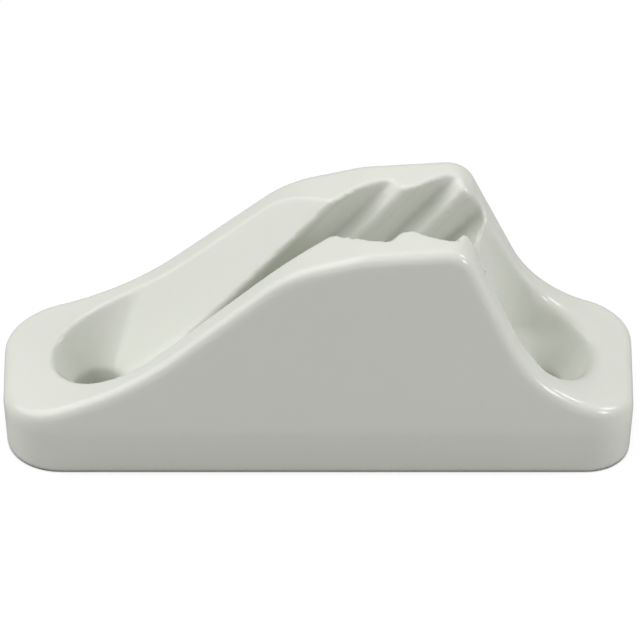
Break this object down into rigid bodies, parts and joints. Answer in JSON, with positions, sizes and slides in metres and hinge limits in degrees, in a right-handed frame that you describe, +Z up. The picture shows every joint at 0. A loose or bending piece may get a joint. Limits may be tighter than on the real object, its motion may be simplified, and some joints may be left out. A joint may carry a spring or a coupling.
{
  "type": "jam cleat",
  "caption": "Moulded jam cleat for small line: a rope lane climbs a ramp into a narrow V channel with slanting saw teeth, with a countersunk screw recess at each end.",
  "frame": {"origin": "centre of the flat underside, which lies on the deck", "axes": "+X along the cleat towards its steep end (the ramp is at -X), +Y across it, +Z up from the deck"},
  "size_m": [0.066, 0.0196, 0.0278],
  "materials": {
    "cleat_body": "off-white moulded nylon, glossy"
  },
  "bodies": {
    "root": {"cleat_body": "cleat_body"}
  },
  "joints": []
}
